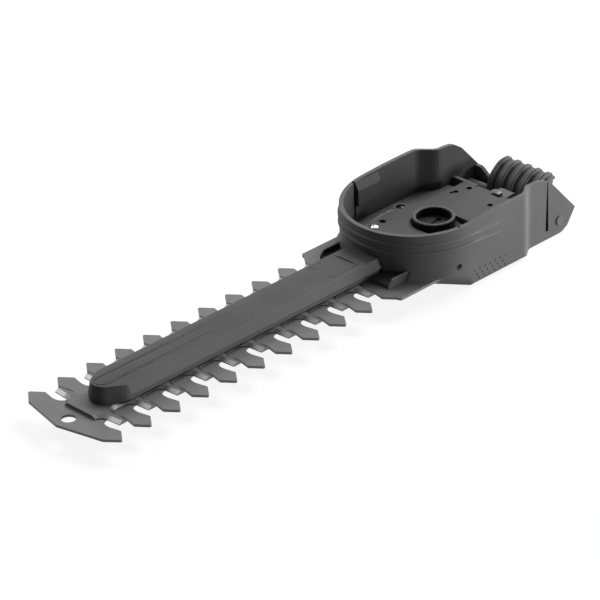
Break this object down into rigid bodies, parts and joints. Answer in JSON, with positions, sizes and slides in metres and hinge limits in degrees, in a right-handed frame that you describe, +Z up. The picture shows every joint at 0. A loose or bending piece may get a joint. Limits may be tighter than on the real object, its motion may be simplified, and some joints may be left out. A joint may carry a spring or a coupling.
{
  "type": "hedge trimmer blade",
  "caption": "Short hedge trimmer blade head: toothed comb and sliding cutter under a guide bar, in a tub-shaped housing with a drive cup and a ribbed latch lever.",
  "frame": {"origin": "on the drive cup's axis, level with the top of the deck plate", "axes": "+Z up along the cup's axis, +X from the blade's tip toward the latch lever, +Y to the far side in the picture"},
  "size_m": [0.3583, 0.0868, 0.0407],
  "materials": {
    "coated_steel": "smooth grey coating on sheet steel, satin",
    "ground_steel": "coated faces with ground bright bevels",
    "bar_plastic": "semi-gloss dark grey",
    "housing_plastic": "fine matte dark grey moulding",
    "deck_plastic": "matte dark grey moulding",
    "lever_plastic": "matte dark grey moulding",
    "black_plastic": "black, with a worn light rim",
    "bright_steel": "bright plated",
    "plain_steel": "plain steel",
    "stud_metal": "light grey cast metal",
    "bronze": "sintered bronze"
  },
  "bodies": {
    "frame": {"comb_plate": "coated_steel", "guide_bar": "bar_plastic", "guide_bushes": "plain_steel", "bar_screws": "plain_steel", "housing_shell": "housing_plastic", "sole_cover": "housing_plastic", "sole_screws": "plain_steel", "comb_screws": "plain_steel", "deck_plate": "deck_plastic", "deck_screws": "bright_steel", "bearing_bush": "bronze", "thrust_washer": "plain_steel", "latch_pin": "plain_steel", "pin_clip": "plain_steel"},
    "cutter": {"cutter_blade": "ground_steel"},
    "drive": {"drive_cup": "black_plastic", "crank_pin": "plain_steel", "crank_roller": "plain_steel"},
    "latch": {"latch_lever": "lever_plastic", "latch_stud": "stud_metal", "latch_spring": "plain_steel"}
  },
  "joints": [
    {"name": "cutter_slide", "type": "slide", "parent": "frame", "child": "cutter", "axis": [1, 0, 0], "range_m": [-0.0091, 0.0069]},
    {"name": "drive_spin", "type": "hinge", "parent": "frame", "child": "drive", "pos_m": [0, 0, 0], "axis": [0, 0, 1], "range_deg": [-102.5, 77.8]},
    {"name": "latch_hinge", "type": "hinge", "parent": "frame", "child": "latch", "pos_m": [0.0647, 0, -0.012], "axis": [0, 1, 0], "range_deg": [0, 12], "stiffness_Nm_per_rad": 0.3, "springref_deg": -8.59}
  ],
  "couplings": [
    {"joint": "drive_spin", "follows": "cutter_slide", "rad_per_m": 196.35}
  ]
}
